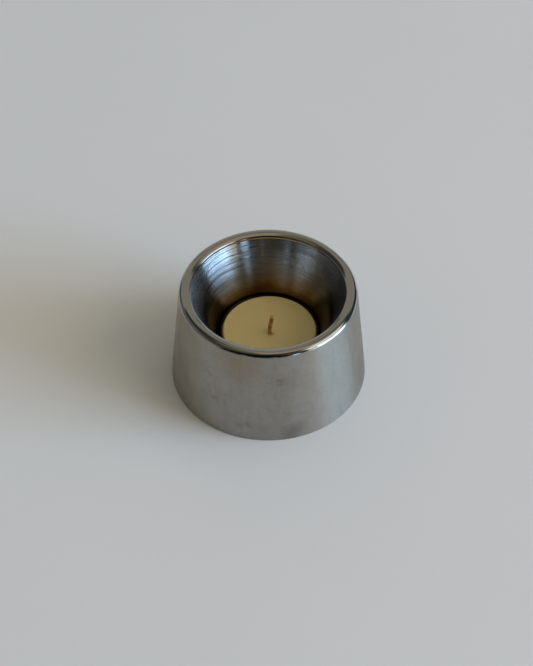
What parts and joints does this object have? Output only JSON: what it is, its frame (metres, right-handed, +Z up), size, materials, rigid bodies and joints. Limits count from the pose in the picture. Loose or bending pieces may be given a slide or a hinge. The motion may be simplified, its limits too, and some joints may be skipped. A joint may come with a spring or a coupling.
{
  "type": "stainless steel tealight holder",
  "caption": "Conical double-walled steel holder whose polished rim turns in to a brushed funnel bowl, with a lift-out tealight standing in its pocket.",
  "frame": {"origin": "centre of the pad's underside, on the surface that the holder stands on", "axes": "+Z up along the axis that the holder is turned about; -Y towards the side that the picture is taken from, +X to its right"},
  "size_m": [0.0776, 0.0776, 0.0442],
  "materials": {
    "polished_steel": "fine satin polish, mirror bright on the rim",
    "brushed_steel": "turned, with fine rings round the axis",
    "plate_steel": "plain rolled sheet",
    "foam_pad": "matt black foam",
    "cup_aluminium": "thin drawn foil, satin",
    "ivory_wax": "smooth pressed wax, slightly waxy sheen",
    "waxed_cotton": "waxed braid",
    "tinned_steel": "tinned sheet"
  },
  "bodies": {
    "holder": {"outer_shell": "polished_steel", "inner_bowl": "brushed_steel", "base_plate": "plate_steel", "base_pad": "foam_pad"},
    "tealight": {"tealight_cup": "cup_aluminium", "wax": "ivory_wax", "wick": "waxed_cotton", "wick_sustainer": "tinned_steel"}
  },
  "joints": [
    {"name": "tealight_lift", "type": "slide", "parent": "holder", "child": "tealight", "axis": [0, 0, 1], "range_m": [0, 0.042]}
  ]
}
